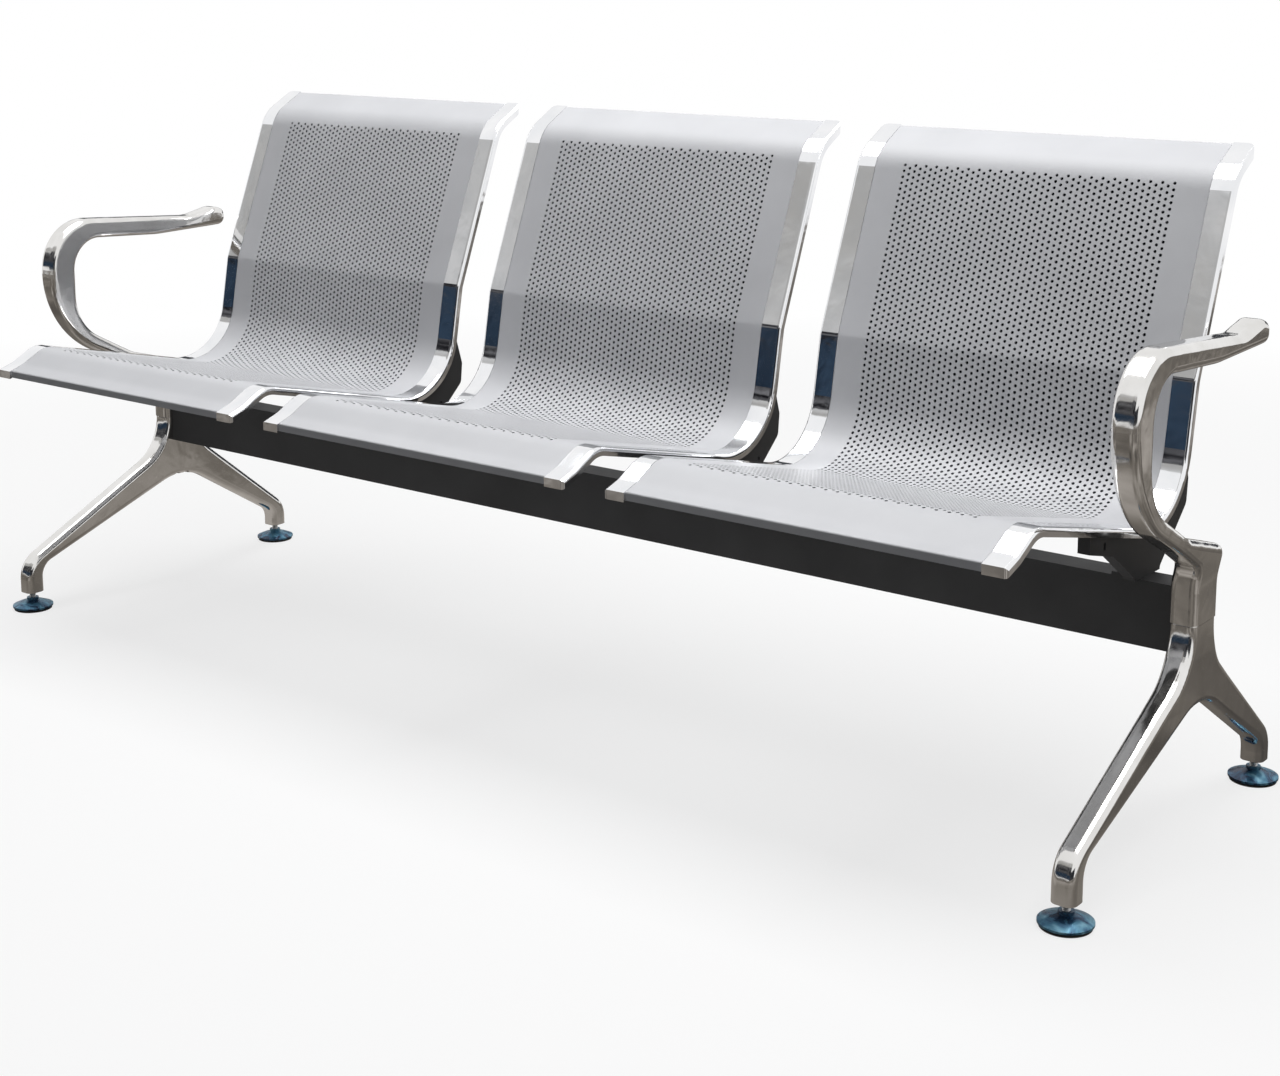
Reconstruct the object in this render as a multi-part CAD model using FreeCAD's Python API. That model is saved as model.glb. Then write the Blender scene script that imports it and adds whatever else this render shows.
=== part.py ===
import FreeCAD, Part
import os
from math import acos, cos, hypot, radians, sin, tan

os.makedirs("parts", exist_ok=True)

Vector = FreeCAD.Vector
up = Vector(0, 0, 1)
across = Vector(1, 0, 0)

# Three-seat waiting bench on one beam.
# Millimetres. X runs along the row, +Y to the back, +Z up from the floor.
# While modelling, y = 0 is the middle of the beam; the export moves the bench so that
# the bottom centre of its box is the origin.

# Cutting tools run this far past the faces that they open
overrun = 1.0
# Lengths below this count as nothing
tiny = 0.001

# The row
seat_count = 3
seat_pitch = 595.0
seat_width = 532.0
column_middle_past_seat = 44.0

# Top surface of a seat, seen from the side: the crown is where the slope of the seat turns
# down to the lip, the crease where the back leans further, the flare where it turns over
crown_y = -306.0
crown_height = 434.0
crown_radius = 45.0
lip_past_crown = 41.0
lip_drop = 22.0
lip_radius = 40.0
tip_past_lip = 24.0
tip_drop = 8.0
seat_fall = 12.9
bend_y = 53.3
bend_radius = 90.0
lower_back_lean = 10.3
crease_rise = 92.0
crease_radius = 25.0
upper_back_lean = 21.6
back_height = 796.0
flare_drop = 33.0
flare_radius = 60.0
flare_rise = 29.4

# Side rails
rail_width = 30.0
rail_thickness = 11.0
rail_edge_radius = 5.0
rail_front_corner = 4.0
rail_top_corner = 12.0

# Sheet shell between the rails
shell_wall = 1.5
shell_flange = 10.0
shell_fold_radius = 2.5
shell_setback = 2.0
shell_corner = 3.0

# Beam
beam_top = 305.5
beam_height = 80.0
beam_depth = 40.0
beam_wall = 2.0

# Castings at the two ends: the seam between leg and armrest, and the column they share
seam_height = 265.0
column_width = 35.0
column_depth = 64.0
socket_depth = 22.5
seam_step = 0.8
seam_groove_depth = 1.2
seam_groove_height = 1.5

# Y leg: hips, crotch and taper hang from the seam, ankles stand on the leg's bottom
leg_narrower = 5.0
leg_edge_radius = 10.0
leg_bottom = 28.0
foot_width = 30.0
front_foot_y = -300.0
rear_foot_y = 212.0
front_hip_drop = 49.0
rear_hip_drop = 43.0
front_ankle_rise = 40.0
rear_ankle_rise = 27.0
knee_above_ankle = 9.0
crotch_y = 8.0
crotch_drop = 92.0
crotch_radius = 100.0
hip_radius = 80.0
knee_radius = 45.0
ankle_radius = 25.0
taper_start_drop = 40.0
taper_end_drop = 95.0

# Armrest: the root is where it leaves the column in front, the crest where its front and
# top runs would meet. A reach is the length that a corner's arc takes of each run beside it.
# The two arcs on an upright run in front leave a straight between them and divide the rest.
arm_width = 34.0
arm_bulge = 13.0
arm_root_height = 334.0
arm_root_reach = 12.3
arm_crest_height = 616.0
arm_front_y = -234.0
arm_chin_rise = 103.0
arm_front_straight = 6.0
arm_chin_part = 0.53
arm_dip_y = 50.0
arm_dip_drop = 21.0
arm_dip_reach = 11.0
knob_top_past_dip = 52.0
knob_top_rise = 11.0
knob_top_reach = 7.2
knob_end_past_top = 20.0
knob_end_drop = 6.0
knob_end_height = 25.0
knob_end_top_reach = 9.0
knob_end_bottom_reach = 12.0
knob_neck_before_top = 5.0
knob_neck_drop = 21.0
knob_neck_reach = 2.9
arm_edge_radius = 9.5
arm_thickness = 24.0
arm_underside_y = -20.0
arm_underside_reach = 7.9
hole_front_depth = 46.0
hole_top_drop = 35.0
hole_chin_thickness = 27.5
hole_front_straight = 40.5
hole_top_part = 0.52
hole_sill_y = -80.0
hole_sill_thickness = 23.5
hole_sill_reach = 8.9
column_top_rise = 16.0
column_top_reach = 12.0
bulge_below_root = 22.0
bulge_above_root = 44.0
bulge_radius = 90.0

# Seat brackets: a pressed tray whose web is outboard
bracket_plate = 3.0
bracket_tray_width = 15.0
bracket_inset_from_rail = 15.0
bracket_front_y = -147.0
bracket_nose_depth = 22.0
bracket_nose_length = 60.71
bracket_belly_depth = 23.55
bracket_foot_half = 34.0
bracket_heel_past_bend = 49.7
bracket_heel_rise = 66.5
bracket_spur_past_bend = 52.7
bracket_spur_rise = 30.0
bracket_tip_past_bend = 40.7
bracket_tip_rise = 39.0
bracket_corner_radius = 6.0
bracket_belly_radius = 24.0
bracket_heel_radius = 12.0
foot_plate_width = 36.0
foot_plate_thickness = 4.0
slot_from_front = 35.0
slot_drop = 12.0
slot_width = 5.0
slot_height = 9.0
drain_past_bend = 3.7
drain_rise = 41.5
drain_radius = 3.0

# Fasteners
bolt_radius = 4.0
bolt_head_flats = 13.0
bolt_head_height = 5.5
bolt_spacing = 18.0
bolt_clearance = 0.25
bolt_from_plate_edge = 10.4
tapping_plate_length = 36.0
tapping_plate_width = 34.0
tapping_plate_thickness = 6.0
bolt_tail = 2.0
screw_radius = 3.0
screw_head_radius = 5.5
screw_head_height = 3.5
screw_bite = 7.0
screw_first_y = -125.0
screw_last_y = -50.0
clamp_head_radius = 6.5
clamp_head_height = 8.0
clamp_head_below_beam = 37.5
clamp_bolt_cover = 20.0
clamp_spacing = 20.0
clamp_inset = 11.5

# Levelling feet
pad_radius = 29.0
pad_thickness = 4.0
disc_radius = 31.0
disc_rim = 2.5
disc_dome_height = 8.0
disc_shoulder_radius = 19.22
disc_shoulder_rise = 4.96
disc_neck_radius = 9.0
disc_neck_height = 4.0
stud_radius = 5.0
stud_fit = 0.05
stud_socket = 9.0
stud_top = 48.0
stud_retract = 6.0
stud_end_gap = 2.0


# Plane outlines with rounded corners

def unit(dy, dz):
    length = hypot(dy, dz)
    return dy / length, dz / length


def corner(before, point, after, radius):
    """Where the arc of a rounded corner starts, its middle and where it ends."""
    back = unit(before[0] - point[0], before[1] - point[1])
    ahead = unit(after[0] - point[0], after[1] - point[1])
    half = acos(back[0] * ahead[0] + back[1] * ahead[1]) / 2
    reach = radius / tan(half)
    middle = unit(back[0] + ahead[0], back[1] + ahead[1])
    depth = radius / sin(half) - radius
    start = (point[0] + back[0] * reach, point[1] + back[1] * reach)
    end = (point[0] + ahead[0] * reach, point[1] + ahead[1] * reach)
    return start, (point[0] + middle[0] * depth, point[1] + middle[1] * depth), end


def outline_edges(points, place, closed):
    """Lines and tangent arcs through points given as (a, b, radius)."""
    count = len(points)
    corners = []
    for i, (a, b, radius) in enumerate(points):
        inner = closed or 0 < i < count - 1
        if radius > 0 and inner:
            corners.append(corner(points[i - 1], (a, b), points[(i + 1) % count], radius))
        else:
            corners.append(((a, b), None, (a, b)))
    edges = []
    for i in range(count):
        start, middle, end = corners[i]
        if middle:
            edges.append(Part.Arc(place(*start), place(*middle), place(*end)).toShape())
        if i < count - 1 or closed:
            following = corners[(i + 1) % count][0]
            if hypot(following[0] - end[0], following[1] - end[1]) > tiny:
                edges.append(Part.makeLine(place(*end), place(*following)))
    return edges


def radius_for(before, point, after, reach):
    """The radius whose arc takes the length reach of each run at a corner."""
    back = unit(before[0] - point[0], before[1] - point[1])
    ahead = unit(after[0] - point[0], after[1] - point[1])
    return reach * tan(acos(back[0] * ahead[0] + back[1] * ahead[1]) / 2)


def from_reaches(points):
    """A closed outline given as (a, b, reach), with each reach turned into its radius."""
    count = len(points)
    result = []
    for i, (a, b, reach) in enumerate(points):
        radius = radius_for(points[i - 1], (a, b), points[(i + 1) % count], reach) if reach else 0
        result.append((a, b, radius))
    return result


def side_prism(points, low_x, high_x):
    """A closed outline in y and z, extruded from low_x to high_x."""
    edges = outline_edges(points, lambda y, z: Vector(low_x, y, z), True)
    return Part.Face(Part.Wire(edges)).extrude(Vector(high_x - low_x, 0, 0))


def front_prism(points, low_y, high_y):
    """A closed outline in x and z, extruded from low_y to high_y."""
    edges = outline_edges(points, lambda x, z: Vector(x, low_y, z), True)
    return Part.Face(Part.Wire(edges)).extrude(Vector(0, high_y - low_y, 0))


def plan_prism(points, low_z, high_z):
    """A closed outline in x and y, extruded from low_z to high_z."""
    edges = outline_edges(points, lambda x, y: Vector(x, y, low_z), True)
    return Part.Face(Part.Wire(edges)).extrude(Vector(0, 0, high_z - low_z))


def box(low, high):
    return Part.makeBox(high[0] - low[0], high[1] - low[1], high[2] - low[2], Vector(*low))


def rod(radius, base, direction, length):
    return Part.makeCylinder(radius, length, base, direction)


def mirrored(shape):
    return shape.mirror(Vector(0, 0, 0), across)


# Side profile of a seat

def seat_profile():
    """Corner points of the top surface from the front tip to the top of the back."""
    lip_y = crown_y - lip_past_crown
    lip_height = crown_height - lip_drop
    bend_height = crown_height - (bend_y - crown_y) * tan(radians(seat_fall))
    crease_height = crown_height + crease_rise
    flare_height = back_height - flare_drop
    crease_y = bend_y + (crease_height - bend_height) * tan(radians(lower_back_lean))
    flare_y = crease_y + (flare_height - crease_height) * tan(radians(upper_back_lean))
    back_y = flare_y + flare_drop / tan(radians(flare_rise))
    return [
        (lip_y - tip_past_lip, lip_height - tip_drop, 0),
        (lip_y, lip_height, lip_radius),
        (crown_y, crown_height, crown_radius),
        (bend_y, bend_height, bend_radius),
        (crease_y, crease_height, crease_radius),
        (flare_y, flare_height, flare_radius),
        (back_y, back_height, 0),
    ]


def lowered(points, drop):
    """The same open outline, moved square to itself towards the underside by drop."""
    result = []
    last = len(points) - 1
    for i, (y, z, radius) in enumerate(points):
        before = points[max(i - 1, 0)]
        here = points[i]
        after = points[min(i + 1, last)]
        arriving = unit(here[0] - before[0], here[1] - before[1]) if i > 0 else None
        leaving = unit(after[0] - here[0], after[1] - here[1]) if i < last else None
        arriving = arriving or leaving
        leaving = leaving or arriving
        turn = arriving[0] * leaving[1] - arriving[1] * leaving[0]
        along = 1 + arriving[0] * leaving[0] + arriving[1] * leaving[1]
        move_y = (arriving[1] + leaving[1]) / along * drop
        move_z = -(arriving[0] + leaving[0]) / along * drop
        new_radius = radius + drop * (1 if turn > 0 else -1) if radius else 0
        result.append((y + move_y, z + move_z, new_radius))
    return result


def stretched(points, length):
    """The open outline with both end runs made longer."""
    first = unit(points[0][0] - points[1][0], points[0][1] - points[1][1])
    final = unit(points[-1][0] - points[-2][0], points[-1][1] - points[-2][1])
    start = (points[0][0] + first[0] * length, points[0][1] + first[1] * length, 0)
    end = (points[-1][0] + final[0] * length, points[-1][1] + final[1] * length, 0)
    return [start] + points[1:-1] + [end]


profile = seat_profile()
profile_overrun = rail_thickness
long_profile = stretched(profile, profile_overrun)


def swept(section, drop=0.0):
    """A section of (x, depth below the surface) points, carried along the profile."""
    path = outline_edges(lowered(long_profile, drop), lambda y, z: Vector(0, y, z), False)
    start = long_profile[0]
    ahead = long_profile[1]
    run = unit(ahead[0] - start[0], ahead[1] - start[1])
    down = (run[1], -run[0])

    def place(x, depth):
        return Vector(x, start[0] + down[0] * (depth + drop), start[1] + down[1] * (depth + drop))

    wire = Part.Wire(outline_edges(section, place, True))
    shell = Part.BRepOffsetAPI.MakePipeShell(Part.Wire(path))
    shell.setBiNormalMode(across)
    shell.add(wire)
    shell.build()
    shell.makeSolid()
    return shell.shape()


def seat_plan(low_x, high_x, setback, front_left, front_right, back_left, back_right):
    """The plan outline that cuts the swept pieces off at the tip and the top."""
    low_y = profile[0][0] + setback
    high_y = profile[-1][0] - setback
    points = [
        (low_x, low_y, front_left),
        (high_x, low_y, front_right),
        (high_x, high_y, back_right),
        (low_x, high_y, back_left),
    ]
    return plan_prism(points, seam_height, back_height + profile_overrun)


def right_rail():
    inner_x = seat_width / 2 - rail_width
    outer_x = seat_width / 2
    section = [
        (inner_x, 0, 0),
        (outer_x, 0, rail_edge_radius),
        (outer_x, rail_thickness, 0),
        (inner_x, rail_thickness, 0),
    ]
    plan = seat_plan(inner_x, outer_x, 0, 0, rail_front_corner, 0, rail_top_corner)
    rail = swept(section).common(plan)
    for base, direction in rail_screw_places():
        rail = rail.cut(rod(screw_radius + bolt_clearance, base, direction, screw_bite))
    return rail


def seat_shell():
    half = seat_width / 2 - rail_width
    inner_half = half - shell_wall
    hidden = shell_flange + shell_wall
    fold = shell_fold_radius
    outer = [(-half, 0, fold), (half, 0, fold), (half, shell_flange, 0), (-half, shell_flange, 0)]
    inner = [(-inner_half, 0, 0), (inner_half, 0, 0), (inner_half, hidden, 0), (-inner_half, hidden, 0)]
    block = swept(outer).common(seat_plan(-half, half, shell_setback, *[shell_corner] * 4))
    inset = shell_setback + shell_wall
    hollow = swept(inner, shell_wall).common(seat_plan(-inner_half, inner_half, inset, 0, 0, 0, 0))
    return block.cut(hollow)


# Seat brackets

def bracket_middle_x():
    return seat_width / 2 - bracket_inset_from_rail


def seat_slope_point(y, depth):
    """A point of the sloping seat at y, moved square to the slope by depth."""
    fall = radians(seat_fall)
    surface = crown_height - (y - crown_y) * tan(fall)
    return y - depth * sin(fall), surface - depth * cos(fall)


def rail_screw_places():
    """Base points and direction of the holes that take the rail screws."""
    fall = radians(seat_fall)
    x = bracket_middle_x() - bracket_tray_width / 2
    places = []
    for y in (screw_first_y, screw_last_y):
        base_y, base_z = seat_slope_point(y, rail_thickness)
        places.append((Vector(x, base_y, base_z), Vector(0, sin(fall), cos(fall))))
    return places


def above_underside(depth):
    """Outline of everything on the sitter's side of the surface lowered by depth."""
    under = lowered(long_profile, depth)
    far_y = profile[0][0] * 2
    far_z = back_height * 2
    return under + [(under[-1][0], far_z, 0), (far_y, far_z, 0), (far_y, under[0][1], 0)]


def bracket_outline(inset):
    """Side outline of the bracket; its top is cut by the rail's underside."""
    nose_y, nose_z = seat_slope_point(bracket_front_y, rail_thickness + bracket_nose_depth)
    belly_end = bracket_front_y + bracket_nose_length
    belly_y, belly_z = seat_slope_point(belly_end, rail_thickness + bracket_belly_depth)
    heel_height = beam_top + bracket_heel_rise
    spur_height = heel_height + bracket_spur_rise
    tip_height = spur_height + bracket_tip_rise
    reach = bracket_corner_radius
    points = [
        (nose_y, tip_height, 0),
        (nose_y, nose_z, 0),
        (belly_y, belly_z, bracket_belly_radius),
        (-bracket_foot_half, beam_top + foot_plate_thickness, reach),
        (-bracket_foot_half, beam_top, 0),
        (bracket_foot_half, beam_top, 0),
        (bracket_foot_half, beam_top + foot_plate_thickness, reach),
        (bend_y + bracket_heel_past_bend, heel_height, bracket_heel_radius),
        (bend_y + bracket_spur_past_bend, spur_height, reach),
        (bend_y + bracket_tip_past_bend, tip_height, 0),
    ]
    if inset == 0:
        return points
    return closed_inset(points, inset)


def closed_inset(points, inset):
    """A closed outline that runs anticlockwise, moved inwards by inset."""
    result = []
    count = len(points)
    for i, (y, z, radius) in enumerate(points):
        before = points[i - 1]
        after = points[(i + 1) % count]
        arriving = unit(y - before[0], z - before[1])
        leaving = unit(after[0] - y, after[1] - z)
        turn = arriving[0] * leaving[1] - arriving[1] * leaving[0]
        along = 1 + arriving[0] * leaving[0] + arriving[1] * leaving[1]
        move_y = -(arriving[1] + leaving[1]) / along * inset
        move_z = (arriving[0] + leaving[0]) / along * inset
        new_radius = max(radius - inset * (1 if turn > 0 else -1), 0) if radius else 0
        result.append((y + move_y, z + move_z, new_radius))
    return result


def right_bracket():
    web_outer = bracket_middle_x() + bracket_plate / 2
    web_inner = web_outer - bracket_plate
    open_side = web_outer - bracket_tray_width
    tray = side_prism(bracket_outline(0), open_side, web_outer)
    seat = side_prism(above_underside(rail_thickness), open_side - overrun, web_outer + overrun)
    tray = tray.cut(seat)
    hollow = side_prism(bracket_outline(bracket_plate), open_side - overrun, web_inner)
    roof = above_underside(rail_thickness + bracket_plate)
    hollow = hollow.cut(side_prism(roof, open_side - overrun * 2, web_outer))
    tray = tray.cut(hollow)
    foot_low = (web_outer - foot_plate_width, -beam_depth / 2, beam_top)
    foot_high = (web_outer, beam_depth / 2, beam_top + foot_plate_thickness)
    bracket = tray.fuse(box(foot_low, foot_high)).removeSplitter()
    for base, direction in rail_screw_places():
        start = base - direction * (bracket_plate * 2)
        bracket = bracket.cut(rod(screw_radius + bolt_clearance, start, direction, bracket_plate * 3))
    for x, y in foot_bolt_places():
        start = Vector(x, y, beam_top - overrun)
        depth = foot_plate_thickness + overrun * 2
        bracket = bracket.cut(rod(bolt_radius + bolt_clearance, start, up, depth))
    slot_base = seat_slope_point(bracket_front_y + slot_from_front, rail_thickness + slot_drop)
    slot_low = (web_inner - overrun, slot_base[0] - slot_width / 2, slot_base[1] - slot_height / 2)
    slot_high = (web_outer + overrun, slot_base[0] + slot_width / 2, slot_base[1] + slot_height / 2)
    bracket = bracket.cut(box(slot_low, slot_high))
    drain_start = Vector(web_inner - overrun, bend_y + drain_past_bend, beam_top + drain_rise)
    return bracket.cut(rod(drain_radius, drain_start, across, bracket_plate + overrun * 2))


def foot_bolt_places():
    """Plan positions of the bolts through the right bracket's foot."""
    x = bracket_middle_x() + bracket_plate / 2 - foot_plate_width + bolt_from_plate_edge
    return [(x, -bolt_spacing / 2), (x, bolt_spacing / 2)]


# Fasteners

def hexagon(x, y, z, flats, height):
    corners = []
    for i in range(6):
        angle = radians(60 * i + 30)
        corner_radius = flats / 2 / cos(radians(30))
        corners.append((x + corner_radius * cos(angle), y + corner_radius * sin(angle), 0))
    return plan_prism(corners, z, z + height)


def foot_bolt(x, y):
    head_base = beam_top + foot_plate_thickness
    tail = beam_top - beam_wall - tapping_plate_thickness - bolt_tail
    shank = rod(bolt_radius, Vector(x, y, tail), up, head_base - tail)
    return shank.fuse(hexagon(x, y, head_base, bolt_head_flats, bolt_head_height)).removeSplitter()


def rail_screw(base, direction):
    head_top = base - direction * bracket_plate
    head = rod(screw_head_radius, head_top - direction * screw_head_height, direction, screw_head_height)
    length = bracket_plate + screw_bite - bolt_clearance
    return head.fuse(rod(screw_radius, head_top, direction, length)).removeSplitter()


def tapping_plate(x):
    top = beam_top - beam_wall
    low = (x - tapping_plate_length / 2, -tapping_plate_width / 2, top - tapping_plate_thickness)
    high = (x + tapping_plate_length / 2, tapping_plate_width / 2, top)
    plate = box(low, high)
    for y in (-bolt_spacing / 2, bolt_spacing / 2):
        start = Vector(x, y, low[2] - overrun)
        depth = tapping_plate_thickness + overrun * 2
        plate = plate.cut(rod(bolt_radius + bolt_clearance, start, up, depth))
    return plate


# Beam

def seat_centres():
    first = -(seat_count - 1) / 2 * seat_pitch
    return [first + i * seat_pitch for i in range(seat_count)]


def column_middle_x():
    return seat_centres()[-1] + seat_width / 2 + column_middle_past_seat


def beam_end_x():
    return column_middle_x() - column_width / 2 + socket_depth


def clamp_bolt_places():
    x = beam_end_x() - clamp_inset
    return [(x, -clamp_spacing / 2), (x, clamp_spacing / 2)]


def beam():
    end = beam_end_x()
    bottom = beam_top - beam_height
    tube = box((-end, -beam_depth / 2, bottom), (end, beam_depth / 2, beam_top))
    inner_low = (-end, -beam_depth / 2 + beam_wall, bottom + beam_wall)
    inner_high = (end, beam_depth / 2 - beam_wall, beam_top - beam_wall)
    tube = tube.cut(box(inner_low, inner_high))
    drills = []
    for centre in seat_centres():
        for x, y in foot_bolt_places():
            for side in (-1, 1):
                start = Vector(centre + side * x, y, beam_top - beam_wall * 2)
                drills.append(rod(bolt_radius + bolt_clearance, start, up, beam_wall * 3))
    for x, y in clamp_bolt_places():
        for side in (-1, 1):
            start = Vector(side * x, y, bottom - beam_wall)
            depth = beam_height + beam_wall * 2
            drills.append(rod(bolt_radius + bolt_clearance, start, up, depth))
    return tube.cut(Part.Compound(drills))


# Castings

def beam_socket():
    """The space of the beam's end inside the two castings."""
    inner_face = column_middle_x() - column_width / 2
    low = (inner_face - column_width, -beam_depth / 2, beam_top - beam_height)
    high = (beam_end_x(), beam_depth / 2, beam_top)
    return box(low, high)


def softened(shape, radius, keep_sharp):
    """The casting with its long edges rounded; edges that keep_sharp picks stay as they are."""
    edges = [edge for edge in shape.Edges if not keep_sharp(edge)]
    return shape.makeFillet(radius, edges)


def lies_on_height(edge, height):
    return abs(edge.BoundBox.ZMin - height) < tiny and abs(edge.BoundBox.ZMax - height) < tiny


def runs_across(edge):
    """An edge parallel to x, where two faces of the side outline meet."""
    box_of_edge = edge.BoundBox
    return box_of_edge.YLength < tiny and box_of_edge.ZLength < tiny


def seam_groove():
    """The groove around the top of the leg, where the armrest sits down on it."""
    middle = column_middle_x()
    inset = seam_step + seam_groove_depth
    half_x = column_width / 2 - inset
    half_y = column_depth / 2 - inset
    low_z = seam_height - seam_groove_height
    high_z = seam_height + overrun
    ring = box((middle - column_width, -column_depth, low_z), (middle + column_width, column_depth, high_z))
    corner_radius = leg_edge_radius - seam_groove_depth
    plan = [(-half_x, -half_y), (half_x, -half_y), (half_x, half_y), (-half_x, half_y)]
    rounded = [(middle + x, y, corner_radius) for x, y in plan]
    return ring.cut(plan_prism(rounded, low_z - overrun, high_z + overrun))


def leg_outline():
    half_top = column_depth / 2 - seam_step
    front_out = front_foot_y - foot_width / 2
    front_in = front_foot_y + foot_width / 2
    rear_out = rear_foot_y + foot_width / 2
    rear_in = rear_foot_y - foot_width / 2
    front_ankle = leg_bottom + front_ankle_rise
    rear_ankle = leg_bottom + rear_ankle_rise
    return [
        (-half_top, seam_height, 0),
        (-half_top, seam_height - front_hip_drop, hip_radius),
        (front_out, front_ankle + knee_above_ankle, knee_radius),
        (front_out, leg_bottom, 0),
        (front_in, leg_bottom, 0),
        (front_in, front_ankle, ankle_radius),
        (crotch_y, seam_height - crotch_drop, crotch_radius),
        (rear_in, rear_ankle, ankle_radius),
        (rear_in, leg_bottom, 0),
        (rear_out, leg_bottom, 0),
        (rear_out, rear_ankle + knee_above_ankle, knee_radius),
        (half_top, seam_height - rear_hip_drop, hip_radius),
        (half_top, seam_height, 0),
    ]


def right_leg():
    middle = column_middle_x()
    top_half = column_width / 2 - seam_step
    leg_half = (column_width - leg_narrower) / 2
    taper_start = seam_height - taper_start_drop
    taper_end = seam_height - taper_end_drop
    front_view = [
        (middle - top_half, seam_height, 0),
        (middle - top_half, taper_start, hip_radius),
        (middle - leg_half, taper_end, hip_radius),
        (middle - leg_half, leg_bottom, 0),
        (middle + leg_half, leg_bottom, 0),
        (middle + leg_half, taper_end, hip_radius),
        (middle + top_half, taper_start, hip_radius),
        (middle + top_half, seam_height, 0),
    ]
    body = side_prism(leg_outline(), middle - column_width, middle + column_width)
    reach = abs(front_foot_y) + foot_width
    body = body.common(front_prism(front_view, -reach, reach))

    def keep_sharp(edge):
        return lies_on_height(edge, seam_height) or lies_on_height(edge, leg_bottom) or runs_across(edge)

    body = softened(body, leg_edge_radius, keep_sharp)
    body = body.cut(seam_groove()).cut(beam_socket())
    recess_start = (seam_height - crotch_drop) / 2
    recess_depth = clamp_head_base() + clamp_head_height - recess_start
    for x, y in clamp_bolt_places():
        start = Vector(x, y, recess_start)
        hole = rod(bolt_radius + bolt_clearance, start, up, seam_height)
        recess = rod(clamp_head_radius + bolt_clearance, start, up, recess_depth)
        body = body.cut(hole).cut(recess)
    for y in (front_foot_y, rear_foot_y):
        depth = stud_top + stud_retract + stud_end_gap - leg_bottom
        start = Vector(middle, y, leg_bottom - overrun)
        body = body.cut(rod(stud_radius + stud_fit, start, up, depth + overrun))
    return body


def column_top():
    return arm_root_height + column_top_rise


def arm_outline():
    half = column_depth / 2
    chin_height = arm_root_height + arm_chin_rise
    front_arcs = arm_crest_height - chin_height - arm_front_straight
    dip_height = arm_crest_height - arm_dip_drop
    knob_top = dip_height + knob_top_rise
    knob_end_top = knob_top - knob_end_drop
    hole_front_y = arm_front_y + hole_front_depth
    hole_top = arm_crest_height - hole_top_drop
    slope = arm_chin_rise / (arm_front_y + half)
    hole_chin = arm_root_height + (hole_front_y + half) * slope + hole_chin_thickness
    hole_sill = arm_root_height + (hole_sill_y + half) * slope + hole_sill_thickness
    hole_arcs = hole_top - hole_chin - hole_front_straight
    knob_y = arm_dip_y + knob_top_past_dip
    knob_end_y = knob_y + knob_end_past_top
    return from_reaches([
        (-half, seam_height, 0),
        (-half, arm_root_height, arm_root_reach),
        (arm_front_y, chin_height, front_arcs * arm_chin_part),
        (arm_front_y, arm_crest_height, front_arcs * (1 - arm_chin_part)),
        (arm_dip_y, dip_height, arm_dip_reach),
        (knob_y, knob_top, knob_top_reach),
        (knob_end_y, knob_end_top, knob_end_top_reach),
        (knob_end_y, knob_end_top - knob_end_height, knob_end_bottom_reach),
        (knob_y - knob_neck_before_top, dip_height - knob_neck_drop, knob_neck_reach),
        (arm_underside_y, dip_height - arm_thickness, arm_underside_reach),
        (hole_front_y, hole_top, hole_arcs * hole_top_part),
        (hole_front_y, hole_chin, hole_arcs * (1 - hole_top_part)),
        (hole_sill_y, hole_sill, hole_sill_reach),
        (half, column_top(), column_top_reach),
        (half, seam_height, 0),
    ])


def right_arm():
    middle = column_middle_x()
    column_half = column_width / 2
    arm_half = arm_width / 2
    arm_middle = middle + arm_bulge
    high = arm_crest_height + arm_width
    bulge_low = arm_root_height - bulge_below_root
    bulge_high = arm_root_height + bulge_above_root
    front_view = [
        (middle - column_half, seam_height, 0),
        (middle + column_half, seam_height, 0),
        (middle + column_half, bulge_low, bulge_radius),
        (arm_middle + arm_half, bulge_high, bulge_radius),
        (arm_middle + arm_half, high, 0),
        (arm_middle - arm_half, high, 0),
        (arm_middle - arm_half, bulge_high, bulge_radius),
        (middle - column_half, bulge_low, bulge_radius),
    ]
    body = side_prism(arm_outline(), middle - column_width, middle + column_width)
    reach = abs(arm_front_y) + arm_width
    body = body.common(front_prism(front_view, -reach, reach))

    def keep_sharp(edge):
        return lies_on_height(edge, seam_height) or runs_across(edge)

    body = softened(body, arm_edge_radius, keep_sharp)
    body = body.cut(beam_socket())
    for x, y in clamp_bolt_places():
        start = Vector(x, y, seam_height - overrun)
        depth = clamp_bolt_top() + bolt_tail - seam_height
        body = body.cut(rod(bolt_radius + bolt_clearance, start, up, depth + overrun))
    return body


def clamp_head_base():
    return beam_top - beam_height - clamp_head_below_beam


def clamp_bolt_top():
    return column_top() - clamp_bolt_cover


def clamp_bolt(x, y):
    shank_base = clamp_head_base() + clamp_head_height
    head = rod(clamp_head_radius, Vector(x, y, clamp_head_base()), up, clamp_head_height)
    shank = rod(bolt_radius, Vector(x, y, shank_base), up, clamp_bolt_top() - shank_base)
    return head.fuse(shank).removeSplitter()


# Levelling feet

def revolved(points, x, y):
    """A closed outline of (radius, height) points turned about the upright axis at x, y."""
    edges = outline_edges(points, lambda r, z: Vector(r, 0, z), True)
    solid = Part.Face(Part.Wire(edges)).revolve(Vector(0, 0, 0), up, 360)
    solid.translate(Vector(x, y, 0))
    return solid


def foot_pad(x, y):
    return rod(pad_radius, Vector(x, y, 0), up, pad_thickness)


def disc_top():
    return pad_thickness + disc_rim + disc_dome_height + disc_neck_height


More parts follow.
